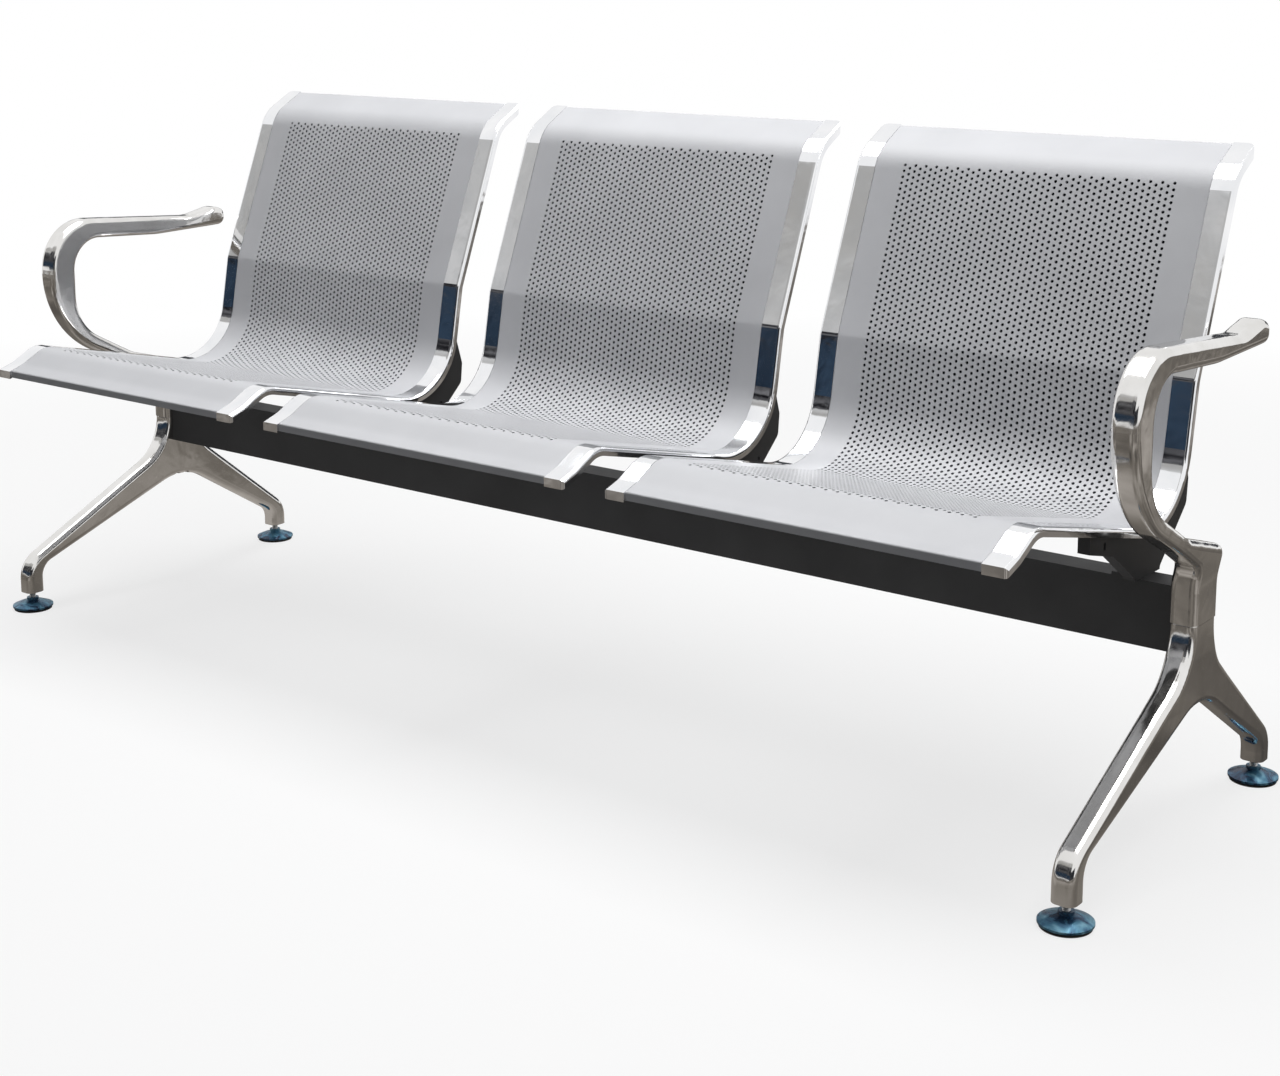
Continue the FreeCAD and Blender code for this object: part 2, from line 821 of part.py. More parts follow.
def foot_disc(x, y):
    bottom = pad_thickness
    rim = bottom + disc_rim
    shoulder = rim + disc_dome_height
    points = [
        (0, bottom, 0),
        (disc_radius, bottom, 0),
        (disc_radius, rim, 0),
        (disc_shoulder_radius, rim + disc_shoulder_rise, disc_radius),
        (disc_neck_radius, shoulder, 0),
        (disc_neck_radius, disc_top(), 0),
        (0, disc_top(), 0),
    ]
    socket_start = Vector(x, y, disc_top() - stud_socket)
    socket = rod(stud_radius + stud_fit, socket_start, up, stud_socket + overrun)
    return revolved(points, x, y).cut(socket)


def foot_stud(x, y):
    base = disc_top() - stud_socket
    return rod(stud_radius, Vector(x, y, base), up, stud_top - base)


# The whole bench

def build():
    pieces = {"beam": beam()}
    rail = right_rail()
    shell = seat_shell()
    bracket = right_bracket()
    bolts = [foot_bolt(x, y) for x, y in foot_bolt_places()]
    screws = [rail_screw(base, direction) for base, direction in rail_screw_places()]
    plate = tapping_plate(foot_bolt_places()[0][0])
    plates = []
    for number, centre in enumerate(seat_centres(), start=1):
        def at_seat(shape):
            return shape.translated(Vector(centre, 0, 0))
        pieces[f"seat_shell_{number}"] = at_seat(shell)
        pieces[f"rail_right_{number}"] = at_seat(rail)
        pieces[f"rail_left_{number}"] = at_seat(mirrored(rail))
        pieces[f"bracket_right_{number}"] = at_seat(bracket)
        pieces[f"bracket_left_{number}"] = at_seat(mirrored(bracket))
        both_bolts = bolts + [mirrored(bolt) for bolt in bolts]
        both_screws = screws + [mirrored(screw) for screw in screws]
        pieces[f"bracket_bolts_{number}"] = at_seat(Part.Compound(both_bolts))
        pieces[f"rail_screws_{number}"] = at_seat(Part.Compound(both_screws))
        plates += [at_seat(plate), at_seat(mirrored(plate))]
    pieces["beam_tapping_plates"] = Part.Compound(plates)
    clamps = Part.Compound([clamp_bolt(x, y) for x, y in clamp_bolt_places()])
    ends = {"leg": right_leg(), "armrest": right_arm(), "clamp_bolts": clamps}
    for name, shape in ends.items():
        pieces[f"{name}_right"] = shape
        pieces[f"{name}_left"] = mirrored(shape)
    for side, sign in (("left", -1), ("right", 1)):
        for place, y in (("front", front_foot_y), ("rear", rear_foot_y)):
            x = sign * column_middle_x()
            pieces[f"foot_disc_{place}_{side}"] = foot_disc(x, y)
            pieces[f"foot_pad_{place}_{side}"] = foot_pad(x, y)
            pieces[f"foot_stud_{place}_{side}"] = foot_stud(x, y)
    return pieces


pieces = build()
front_y = min(profile[0][0], front_foot_y - disc_radius)
rear_y = max(profile[-1][0], rear_foot_y + disc_radius)
to_origin = Vector(0, -(front_y + rear_y) / 2, 0)
for name, shape in pieces.items():
    shape.translated(to_origin).exportStep(f"parts/{name}.step")
print("nodes", len(pieces))
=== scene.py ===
from math import atan2, cos, hypot, pi, radians, sin, tan

import bmesh
import bpy
import numpy as np
from mathutils import Matrix, Vector


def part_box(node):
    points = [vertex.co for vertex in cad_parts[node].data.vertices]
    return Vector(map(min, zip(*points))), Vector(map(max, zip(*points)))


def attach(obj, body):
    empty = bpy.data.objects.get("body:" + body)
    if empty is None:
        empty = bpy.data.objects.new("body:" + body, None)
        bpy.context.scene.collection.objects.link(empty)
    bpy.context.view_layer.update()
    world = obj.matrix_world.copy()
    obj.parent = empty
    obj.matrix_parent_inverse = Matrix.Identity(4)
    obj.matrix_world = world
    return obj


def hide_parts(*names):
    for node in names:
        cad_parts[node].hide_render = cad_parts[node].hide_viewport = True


# Looks of a three-seat waiting bench. Metres; X along the row, +Y to the back, +Z up.

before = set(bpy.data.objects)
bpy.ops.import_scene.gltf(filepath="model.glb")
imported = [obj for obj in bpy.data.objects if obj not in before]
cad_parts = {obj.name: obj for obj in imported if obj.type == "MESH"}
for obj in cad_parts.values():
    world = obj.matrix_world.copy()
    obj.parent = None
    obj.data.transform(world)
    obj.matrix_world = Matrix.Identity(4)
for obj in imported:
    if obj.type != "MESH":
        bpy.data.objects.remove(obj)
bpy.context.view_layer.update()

seats = (1, 2, 3)
sides = ("left", "right")
feet = ("front", "rear")

# Seat profile, as in the solids
rail_low, rail_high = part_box("rail_right_2")
tip_y = rail_low.y
back_y = rail_high.y
back_height = rail_high.z
tip_height = 0.404
lip_y = tip_y + 0.024
lip_height = 0.412
lip_radius = 0.040
crown_y = tip_y + 0.065
crown_height = 0.434
crown_radius = 0.045
seat_fall = radians(12.9)
bend_y = crown_y + 0.3593
bend_radius = 0.090
lower_back_lean = radians(10.3)
crease_height = 0.526
crease_radius = 0.025
flare_height = 0.763
flare_radius = 0.060
flare_rise = radians(29.4)

# Sheet shell
sheet_wall = 0.0015
sheet_flange = 0.010
sheet_setback = 0.002
fold_width = 0.0024
fold_support = 0.004

# Perforation: staggered columns of round holes
column_count = 49
column_pitch = 0.00792
row_pitch = 0.0083
hole_radius = 0.0022
hole_sides = 8
# Painted shade: a dark disc in each hole, set this share of the way from the outer skin to the inner one
shade_depth = 0.9
top_row_height = 0.748
front_row_y = crown_y + 0.003

# Stations on the plain margins before and after the holes
front_stations = 15
top_stations = 16

# Small fasteners and threads
shell_screw_radius = 0.0032
shell_screw_height = 0.0016
shell_screw_sides = 12
shell_screw_outline = ((1, 0), (1, 0.4), (0.8, 0.85), (0.45, 1), (0.4, 0.3))
shell_screw_places = (0.06, 0.20, 0.34, 0.52, 0.70)
thread_pitch = 0.0015
thread_depth = 0.0007
thread_sides = 28
thread_steps_per_turn = 6

# Meshes
sharp_angle = radians(38)
thread_sharp_angle = radians(70)
weld_distance = 1e-5
tiny = 1e-9
profile_samples = 4000
fold_segments = 3

# Floor: its own light on what sees it directly, and where it runs out to white
floor_size = 60
floor_shine = 0.75
floor_albedo = 0.2
floor_near = 1.2
floor_far = 3.2

# Light: the same from all round, a soft lamp above and a weak bounce from the floor
world_level = 0.11
world_tint = (0.93, 0.96, 1.0)
overhead_place = (0.2, 0.15, 3.4)
overhead_target = (0.2, 0.15, 0)
overhead_size = (4.5, 2.0)
overhead_power = 150
bounce_place = (0, 0, 0.03)
bounce_target = (0, 0, 1)
bounce_size = (2.0, 0.6)
bounce_power = 6

# Glowing cards, no lamps, that only show in the metal as painted reflections: centre, size, point faced,
# scale of the mottle, and its tones
reflection_cards = {
    "ground_card": ((0, 0, 0.001), (9, 9), (0, 0, 1), 1.4, [
        (0.32, (0.065, 0.06, 0.056)), (0.5, (0.19, 0.172, 0.152)), (0.66, (0.44, 0.41, 0.38)),
    ]),
    "front_card": ((-4, -6, 0.83), (16, 1.28), (-4, 0, 0.83), 1.6, [
        (0.35, (0.009, 0.014, 0.024)), (0.6, (0.032, 0.055, 0.090)),
    ]),
    "band_card": ((-4, -6, 2.685), (16, 2.43), (-4, 0, 2.685), 0.9, [
        (0.42, (0.006, 0.006, 0.008)), (0.66, (0.18, 0.18, 0.19)),
    ]),
    "haze_card": ((-4, -6, 4.775), (16, 1.75), (-4, 0, 4.775), 0.5, [
        (0.3, (0.36, 0.352, 0.335)), (0.7, (0.60, 0.60, 0.60)),
    ]),
    "side_card": ((4.6, -4.6, 1.0), (5.5, 2.4), (0, 0, 1.0), 1.1, [
        (0.35, (0.01, 0.011, 0.014)), (0.65, (0.05, 0.052, 0.06)),
    ]),
    "rear_card": ((-3.0, 6.0, 1.3), (12, 1.5), (0, 0, 0.45), 1.2, [
        (0.35, (0.01, 0.011, 0.014)), (0.65, (0.05, 0.055, 0.065)),
    ]),
}

# Camera, matched to the photograph
camera_place = Vector((1.8373, -2.1533, 1.0191))
camera_yaw = radians(38.07)
camera_pitch = radians(9.89)
camera_roll = radians(-0.1)
camera_lens = 58.66
camera_sensor = 36
camera_clip = (0.05, 200)
camera_shift = (-0.0039, -0.1689)


# Side profile as runs and turns

def seat_corners():
    bend_height = crown_height - (bend_y - crown_y) * tan(seat_fall)
    crease_y = bend_y + (crease_height - bend_height) * tan(lower_back_lean)
    flare_y = back_y - (back_height - flare_height) / tan(flare_rise)
    return [
        (tip_y, tip_height, 0),
        (lip_y, lip_height, lip_radius),
        (crown_y, crown_height, crown_radius),
        (bend_y, bend_height, bend_radius),
        (crease_y, crease_height, crease_radius),
        (flare_y, flare_height, flare_radius),
        (back_y, back_height, 0),
    ]


def runs_and_turns(corners):
    """Pieces of the path: start y, start z, heading, curvature and length."""
    pieces = []
    y, z, _ = corners[0]
    for i in range(1, len(corners)):
        here = corners[i]
        heading = atan2(here[1] - corners[i - 1][1], here[0] - corners[i - 1][0])
        run = hypot(here[0] - y, here[1] - z)
        if i == len(corners) - 1:
            pieces.append((y, z, heading, 0, run))
            break
        after = corners[i + 1]
        leaving = atan2(after[1] - here[1], after[0] - here[0])
        turn = leaving - heading
        reach = here[2] * tan(abs(turn) / 2)
        pieces.append((y, z, heading, 0, run - reach))
        y = here[0] - cos(heading) * reach
        z = here[1] - sin(heading) * reach
        curvature = (1 if turn > 0 else -1) / here[2]
        pieces.append((y, z, heading, curvature, abs(turn) * here[2]))
        y = here[0] + cos(leaving) * reach
        z = here[1] + sin(leaving) * reach
    return np.array(pieces)


path = runs_and_turns(seat_corners())
path_starts = np.concatenate([[0], np.cumsum(path[:, 4])])


def along(s):
    """y, z and heading of the seat's surface at the distances s from its tip."""
    s = np.asarray(s, float)
    piece = np.clip(np.searchsorted(path_starts, s, side="right") - 1, 0, len(path) - 1)
    y, z, heading, curvature, _ = np.moveaxis(path[piece], -1, 0)
    t = s - path_starts[piece]
    bent = np.abs(curvature) > 0
    safe = np.where(bent, curvature, 1)
    turned = heading + curvature * t
    y = y + np.where(bent, (np.sin(turned) - np.sin(heading)) / safe, np.cos(heading) * t)
    z = z + np.where(bent, (np.cos(heading) - np.cos(turned)) / safe, np.sin(heading) * t)
    return y, z, turned


sheet_start = sheet_setback / cos(path[0, 2])
sheet_end = path_starts[-1] - sheet_setback / cos(path[-1, 2])


def distance_where(test):
    """First distance along the profile at which test(y, z) holds."""
    s = np.linspace(0, path_starts[-1], profile_samples)
    y, z, _ = along(s)
    return s[np.argmax(test(y, z))]


# Meshes

def mesh_object(name, vertices, faces, sharp_from=sharp_angle):
    mesh = bpy.data.meshes.new(name)
    mesh.from_pydata(vertices, [], faces)
    mesh.update()
    mesh.shade_smooth()
    mesh.set_sharp_from_angle(angle=sharp_from)
    thing = bpy.data.objects.new(name, mesh)
    bpy.context.scene.collection.objects.link(thing)
    return thing


def ring_pattern(outer_angles, inner_angles):
    """Triangles between two loops of points, given by their angles in order from 0 up."""
    outer = list(outer_angles) + [a + 2 * pi for a in outer_angles]
    inner = list(inner_angles) + [a + 2 * pi for a in inner_angles]
    triangles = []
    i = j = 0
    while i < len(outer_angles) or j < len(inner_angles):
        o = i % len(outer_angles)
        h = j % len(inner_angles)
        if j >= len(inner_angles) or (i < len(outer_angles) and outer[i + 1] <= inner[j + 1]):
            triangles.append((("outer", o), ("outer", (i + 1) % len(outer_angles)), ("inner", h)))
            i += 1
        else:
            triangles.append((("outer", o), ("inner", (j + 1) % len(inner_angles)), ("inner", h)))
            j += 1
    return triangles


half_width = rail_low.x
field_half = column_count * column_pitch / 2
top_row = distance_where(lambda y, z: z >= top_row_height)
front_row = distance_where(lambda y, z: y >= front_row_y)
row_count = round((top_row - front_row) / row_pitch)
row_step = (top_row - front_row) / row_count


def skin_place(s, x, depth, inset):
    """Points of the outer skin, or of the inner one when inset is the wall."""
    near_end = (s <= sheet_start + tiny) | (s >= sheet_end - tiny)
    y, z, heading = along(np.clip(s, sheet_start + inset, sheet_end - inset))
    drop = np.maximum(depth, inset)
    down_y = np.where(near_end, 0, np.sin(heading))
    down_z = np.where(near_end, -1, -np.cos(heading))
    x = np.clip(x, -half_width + inset, half_width - inset)
    return np.stack([x, y + down_y * drop, z + down_z * drop], -1)


def sheet_lines():
    """Lines across the sheet as (x, depth) and stations along it as (s, depth)."""
    margin_middle = (half_width + field_half) / 2
    edge = [
        (half_width, sheet_flange), (half_width, fold_support), (half_width, 0),
        (half_width - fold_support, 0), (margin_middle, 0),
    ]
    columns = [(j * column_pitch - field_half, 0) for j in range(column_count + 1)]
    across = [(-x, depth) for x, depth in edge] + columns + edge[::-1]
    low = front_row - row_step / 2
    field = [(low + k * row_step / 2, 0) for k in range(2 * row_count + 3)]
    high = field[-1][0]
    front = np.linspace(sheet_start + fold_support, low, front_stations)[:-1]
    top = np.linspace(high, sheet_end - fold_support, top_stations)[1:]
    ends = [(sheet_flange, fold_support, 0), (0, fold_support, sheet_flange)]
    stations = [(sheet_start, depth) for depth in ends[0]] + [(s, 0) for s in front] + field
    stations += [(s, 0) for s in top] + [(sheet_end, depth) for depth in ends[1]]
    first_column = len(edge)
    first_station = len(ends[0]) + len(front)
    return across, stations, first_column, first_station


def perforated_sheet():
    """Vertices, faces and fold flags of one shell with both skins and every hole."""
    across, stations, first_column, first_station = sheet_lines()
    columns = len(across)
    rows = len(stations)
    x = np.array([a[0] for a in across])
    depth_across = np.array([a[1] for a in across])
    s = np.array([a[0] for a in stations])
    depth_along = np.array([a[1] for a in stations])
    grid_s, grid_x = np.meshgrid(s, x, indexing="ij")
    grid_depth = np.maximum(depth_along[:, None], depth_across[None, :])
    number = np.arange(rows * columns).reshape(rows, columns)

    in_field = np.zeros((rows - 1, columns - 1), bool)
    centres = []
    corners = []
    for j in range(column_count):
        column = first_column + j
        offset = j % 2
        holes = row_count + 1 - offset
        for i in range(holes):
            k = first_station + offset + 2 * i
            in_field[k:k + 2, column] = True
            centres.append((s[k + 1], (x[column] + x[column + 1]) / 2))
            corners.append([
                number[k + 1, column + 1], number[k + 2, column + 1], number[k + 2, column],
                number[k + 1, column], number[k, column], number[k, column + 1],
            ])
    centres = np.array(centres)
    corners = np.array(corners)
    plain = ~in_field
    both_folded = (grid_depth[:-1, :-1] > 0) & (grid_depth[1:, 1:] > 0)
    both_folded &= (grid_depth[:-1, 1:] > 0) & (grid_depth[1:, :-1] > 0)
    end_row = np.zeros(rows - 1, bool)
    end_row[:2] = end_row[-2:] = True
    side_column = np.zeros(columns - 1, bool)
    side_column[:2] = side_column[-2:] = True
    plain &= ~(end_row[:, None] & side_column[None, :] & both_folded)
    quads = np.stack([
        number[:-1, :-1][plain], number[:-1, 1:][plain], number[1:, 1:][plain], number[1:, :-1][plain],
    ], -1)

    angle = (np.arange(hole_sides) + 0.5) * 2 * pi / hole_sides
    corner_angle = atan2(row_step, column_pitch)
    outer_angles = [0, corner_angle, pi - corner_angle, pi, pi + corner_angle, 2 * pi - corner_angle]
    hole_s = centres[:, 0, None] + hole_radius * np.sin(angle)
    hole_x = centres[:, 1, None] + hole_radius * np.cos(angle)
    grid_total = rows * columns
    hole_number = grid_total + np.arange(centres.shape[0] * hole_sides).reshape(-1, hole_sides)
    lookup = {"outer": corners, "inner": hole_number}
    pattern = ring_pattern(outer_angles, angle)
    rings = [np.stack([lookup[kind][:, index] for kind, index in triangle], -1) for triangle in pattern]
    rings = np.concatenate(rings)

    vertices = []
    for inset in (0, sheet_wall):
        grid = skin_place(grid_s, grid_x, grid_depth, inset).reshape(-1, 3)
        holes = skin_place(hole_s, hole_x, np.zeros_like(hole_s), inset).reshape(-1, 3)
        vertices += [grid, holes]
    vertices = np.concatenate(vertices)
    skin_total = grid_total + hole_number.size
    following = np.roll(hole_number, -1, axis=1)
    walls = np.stack([hole_number, following, following + skin_total, hole_number + skin_total], -1)
    rims = []
    for line in (number[:, 0], number[:, -1], number[0, 2:-2], number[-1, 2:-2]):
        start, end = line[:-1], line[1:]
        rims.append(np.stack([start, end, end + skin_total, start + skin_total], -1))
    faces = quads.tolist() + (quads + skin_total)[:, ::-1].tolist()
    faces += rings.tolist() + (rings + skin_total)[:, ::-1].tolist()
    faces += walls.reshape(-1, 4).tolist() + np.concatenate(rims).tolist()
    on_side = np.abs(np.abs(grid_x) - half_width) < tiny
    at_end = (grid_s <= sheet_start + tiny) | (grid_s >= sheet_end - tiny)
    fold = (on_side & (grid_depth == 0)) | (at_end & (grid_depth == 0)) | (on_side & at_end)
    return vertices, faces, fold.reshape(-1), (hole_number, hole_number + skin_total)


def build_sheet_mesh():
    vertices, faces, fold, _ = perforated_sheet()
    sheet = mesh_object("seat_sheet_2", vertices.tolist(), faces)
    mesh = sheet.data
    work = bmesh.new()
    work.from_mesh(mesh)
    flag = work.verts.layers.int.new("fold")
    work.verts.ensure_lookup_table()
    for index in np.flatnonzero(fold):
        work.verts[index][flag] = 1
    bmesh.ops.remove_doubles(work, verts=work.verts, dist=weld_distance)
    loose = [v for v in work.verts if not v.link_faces]
    bmesh.ops.delete(work, geom=loose, context="VERTS")
    bmesh.ops.recalc_face_normals(work, faces=work.faces)
    weight = work.edges.layers.float.new("bevel_weight_edge")
    for edge in work.edges:
        if edge.verts[0][flag] and edge.verts[1][flag]:
            edge[weight] = 1
    work.to_mesh(mesh)
    work.free()
    mesh.shade_smooth()
    mesh.set_sharp_from_angle(angle=sharp_angle)
    return sheet


def build_shade_mesh():
    """A thin dark disc near the inner skin in every hole: painted shade, so that the holes read dark."""
    vertices, _, _, holes = perforated_sheet()
    outer, inner = (vertices[numbers] for numbers in holes)
    places = (outer * (1 - shade_depth) + inner * shade_depth).reshape(-1, 3)
    faces = np.arange(len(places)).reshape(-1, hole_sides)
    return mesh_object("hole_shade_2", places.tolist(), faces.tolist())


def fold_bevel(thing):
    bevel = thing.modifiers.new("folds", "BEVEL")
    bevel.limit_method = "WEIGHT"
    bevel.width = fold_width
    bevel.segments = fold_segments
    bevel.use_clamp_overlap = True


def revolved(name, outline, sides, place, axis):
    """A round piece from (radius, height) points, standing at place along axis."""
    turn = Vector((0, 0, 1)).rotation_difference(Vector(axis)).to_matrix()
    vertices = []
    faces = []
    for radius, height in outline:
        for i in range(sides):
            a = 2 * pi * i / sides
            vertices.append(turn @ Vector((radius * cos(a), radius * sin(a), height)) + Vector(place))
    for k in range(len(outline) - 1):
        for i in range(sides):
            j = (i + 1) % sides
            faces.append((k * sides + i, k * sides + j, (k + 1) * sides + j, (k + 1) * sides + i))
    faces.append(tuple(range((len(outline) - 1) * sides, len(outline) * sides)))
    return mesh_object(name, vertices, faces)


def joined(name, things):
    work = bmesh.new()
    for thing in things:
        work.from_mesh(thing.data)
        bpy.data.objects.remove(thing)
    mesh = bpy.data.meshes.new(name)
    work.to_mesh(mesh)
    work.free()
    mesh.shade_smooth()
    mesh.set_sharp_from_angle(angle=sharp_angle)
    whole = bpy.data.objects.new(name, mesh)
    bpy.context.scene.collection.objects.link(whole)
    return whole


def shell_screws(number):
    """Low screw heads on the inner faces of a shell's side flanges."""
    seat_x = seat_middle(number)
    head = [(shell_screw_radius * wide, shell_screw_height * high) for wide, high in shell_screw_outline]
    things = []
    for sign in (-1, 1):
        for share in shell_screw_places:
            y, z, heading = along(share * path_starts[-1])
            middle = (sheet_flange + sheet_wall) / 2
            place = (
                seat_x + sign * (half_width - sheet_wall), y + sin(heading) * middle,
                z - cos(heading) * middle,
            )
            things.append(revolved("head", head, shell_screw_sides, place, (-sign, 0, 0)))
    return joined(f"shell_screws_{number}", things)


def seat_middle(number):
    low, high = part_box(f"seat_shell_{number}")
    return (low.x + high.x) / 2


def threaded_stud(tag):
    """The levelling stud with its thread, in the place of the plain cylinder."""
    low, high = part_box(f"foot_stud_{tag}")
    radius = (high.x - low.x) / 2
    centre = (low + high) / 2
    steps = round((high.z - low.z) / thread_pitch * thread_steps_per_turn)
    vertices = []
    faces = []
    for k in range(steps + 1):
        height = low.z + (high.z - low.z) * k / steps
        for i in range(thread_sides):
            share = i / thread_sides
            phase = (height / thread_pitch - share) % 1
            r = radius - thread_depth * abs(phase * 2 - 1)
            a = 2 * pi * share
            vertices.append((centre.x + r * cos(a), centre.y + r * sin(a), height))
    for k in range(steps):
        for i in range(thread_sides):
            j = (i + 1) % thread_sides
            base = k * thread_sides
            faces.append((base + i, base + j, base + thread_sides + j, base + thread_sides + i))
    faces.append(tuple(reversed(range(thread_sides))))
    faces.append(tuple(range(steps * thread_sides, (steps + 1) * thread_sides)))
    return mesh_object(f"thread_{tag}", vertices, faces, thread_sharp_angle)


# Materials

def new_material(name):
    material = bpy.data.materials.new(name)
    material.use_nodes = True
    return material, material.node_tree, material.node_tree.nodes["Principled BSDF"]


def noise(tree, scale, detail=3.0, distortion=0.0):
    coords = tree.nodes.new("ShaderNodeTexCoord")
    texture = tree.nodes.new("ShaderNodeTexNoise")
    texture.inputs["Scale"].default_value = scale
    texture.inputs["Detail"].default_value = detail
    texture.inputs["Distortion"].default_value = distortion
    tree.links.new(coords.outputs["Object"], texture.inputs["Vector"])
    return texture.outputs["Fac"]


def remapped(tree, value, given, wanted):
    """The value with the range given stretched over the range wanted."""
    node = tree.nodes.new("ShaderNodeMapRange")
    node.inputs["From Min"].default_value, node.inputs["From Max"].default_value = given
    node.inputs["To Min"].default_value, node.inputs["To Max"].default_value = wanted
    tree.links.new(value, node.inputs["Value"])
    return node.outputs["Result"]


def coloured(tree, value, stops):
    """A colour ramp over (position, colour) stops."""
    node = tree.nodes.new("ShaderNodeValToRGB")
    ramp = node.color_ramp
    while len(ramp.elements) < len(stops):
        ramp.elements.new(0.5)
    for element, (position, colour) in zip(ramp.elements, stops):
        element.position = position
        element.color = (*colour, 1)
    tree.links.new(value, node.inputs["Fac"])
    return node.outputs["Color"]


def bumped(tree, shader, layers):
    """Bump from (height, distance) layers, one on top of the other."""
    normal = None
    for height, distance in layers:
        node = tree.nodes.new("ShaderNodeBump")
        node.inputs["Distance"].default_value = distance
        tree.links.new(height, node.inputs["Height"])
        if normal:
            tree.links.new(normal, node.inputs["Normal"])
        normal = node.outputs["Normal"]
    tree.links.new(normal, shader.inputs["Normal"])


def shell_coat():
    """Silver-grey powder coat: fine orange peel, faint clouds in tone and gloss."""
    material, tree, shader = new_material("shell_coat")
    clouds = noise(tree, scale=9, detail=4)
    grain = noise(tree, scale=900, detail=2)
    colour = coloured(tree, clouds, [(0.3, (0.50, 0.505, 0.525)), (0.7, (0.55, 0.555, 0.575))])
    tree.links.new(colour, shader.inputs["Base Color"])
    tree.links.new(remapped(tree, clouds, (0.3, 0.7), (0.40, 0.48)), shader.inputs["Roughness"])
    shader.inputs["Specular IOR Level"].default_value = 0.4
    bumped(tree, shader, [(grain, 0.00002), (noise(tree, scale=260, detail=1), 0.00003)])
    return material


def hole_shade():
    """Painted shade: the dark that shows through the holes, put on discs in them."""
    material, tree, shader = new_material("hole_shade")
    # Painted shade, mottled at random
    depth = noise(tree, scale=30, detail=2)
    colour = coloured(tree, depth, [(0.3, (0.008, 0.009, 0.011)), (0.7, (0.020, 0.021, 0.024))])
    tree.links.new(colour, shader.inputs["Base Color"])
    shader.inputs["Roughness"].default_value = 0.9
    shader.inputs["Specular IOR Level"].default_value = 0.0
    return material


def bright_metal(name, dark, light, roughness, wave, wave_scale):
    """Polished metal with faint waves in the surface and a thin haze."""
    material, tree, shader = new_material(name)
    haze = noise(tree, scale=24, detail=5)
    colour = coloured(tree, haze, [(0.3, dark), (0.75, light)])
    tree.links.new(colour, shader.inputs["Base Color"])
    tree.links.new(remapped(tree, haze, (0.3, 0.75), roughness), shader.inputs["Roughness"])
    shader.inputs["Metallic"].default_value = 1
    waves = noise(tree, scale=wave_scale, detail=2, distortion=0.4)
    grain = noise(tree, scale=700, detail=2)
    bumped(tree, shader, [(waves, wave), (grain, 0.000004)])
    return material


def black_coat():
    material, tree, shader = new_material("black_coat")
    clouds = noise(tree, scale=14, detail=5)
    colour = coloured(tree, clouds, [(0.3, (0.027, 0.027, 0.028)), (0.75, (0.036, 0.036, 0.037))])
    tree.links.new(colour, shader.inputs["Base Color"])
    tree.links.new(remapped(tree, clouds, (0.3, 0.75), (0.44, 0.56)), shader.inputs["Roughness"])
    shader.inputs["Specular IOR Level"].default_value = 0.3
    bumped(tree, shader, [(noise(tree, scale=800, detail=2), 0.00003)])
    return material


def zinc_steel():
    material, tree, shader = new_material("zinc_steel")
    spangle = noise(tree, scale=160, detail=4, distortion=1.5)
    colour = coloured(tree, spangle, [(0.3, (0.46, 0.47, 0.48)), (0.7, (0.66, 0.66, 0.65))])
    tree.links.new(colour, shader.inputs["Base Color"])
    tree.links.new(remapped(tree, spangle, (0.3, 0.7), (0.24, 0.42)), shader.inputs["Roughness"])
    shader.inputs["Metallic"].default_value = 1
    bumped(tree, shader, [(spangle, 0.00003)])
    return material


def filmed_disc():
    """Bright plate under blue protective film, mottled where the film has lifted; the lightest tones of
    the mottle are painted highlights.
    """
    material, tree, shader = new_material("filmed_disc")
    wrinkle_and_highlight_mottle = noise(tree, scale=42, detail=5, distortion=1.2)
    # Dark navy to pale cyan: film colour, with painted highlights in the lightest stops; the same noise
    # bumps the real wrinkles
    colour = coloured(tree, wrinkle_and_highlight_mottle, [
        (0.34, (0.015, 0.03, 0.07)), (0.45, (0.03, 0.10, 0.19)), (0.55, (0.07, 0.22, 0.34)),
        (0.68, (0.22, 0.44, 0.56)),
    ])
    tree.links.new(colour, shader.inputs["Base Color"])
    tree.links.new(remapped(tree, wrinkle_and_highlight_mottle, (0.3, 0.7), (0.22, 0.38)), shader.inputs["Roughness"])
    shader.inputs["Metallic"].default_value = 0.4
    bumped(tree, shader, [(wrinkle_and_highlight_mottle, 0.0008)])
    return material


def pad_rubber():
    material, tree, shader = new_material("pad_rubber")
    dust = noise(tree, scale=60, detail=5)
    colour = coloured(tree, dust, [(0.35, (0.018, 0.018, 0.019)), (0.75, (0.045, 0.044, 0.043))])
    tree.links.new(colour, shader.inputs["Base Color"])
    tree.links.new(remapped(tree, dust, (0.3, 0.7), (0.7, 0.9)), shader.inputs["Roughness"])
    bumped(tree, shader, [(noise(tree, scale=900, detail=2), 0.00005)])
    return material


coat = shell_coat()
shade = hole_shade()
rail_metal = bright_metal(
    "bright_rail", dark=(0.80, 0.81, 0.83), light=(0.90, 0.90, 0.91), roughness=(0.10, 0.045),
    wave=0.0004, wave_scale=26,
)
cast_metal = bright_metal(
    "bright_casting", dark=(0.70, 0.69, 0.67), light=(0.82, 0.81, 0.80), roughness=(0.14, 0.07),
    wave=0.0010, wave_scale=22,
)
black = black_coat()
zinc = zinc_steel()
film = filmed_disc()
rubber = pad_rubber()


def finished(thing, material, slot):
    thing.data.materials.clear()
    thing.data.materials.append(material)


# Pieces

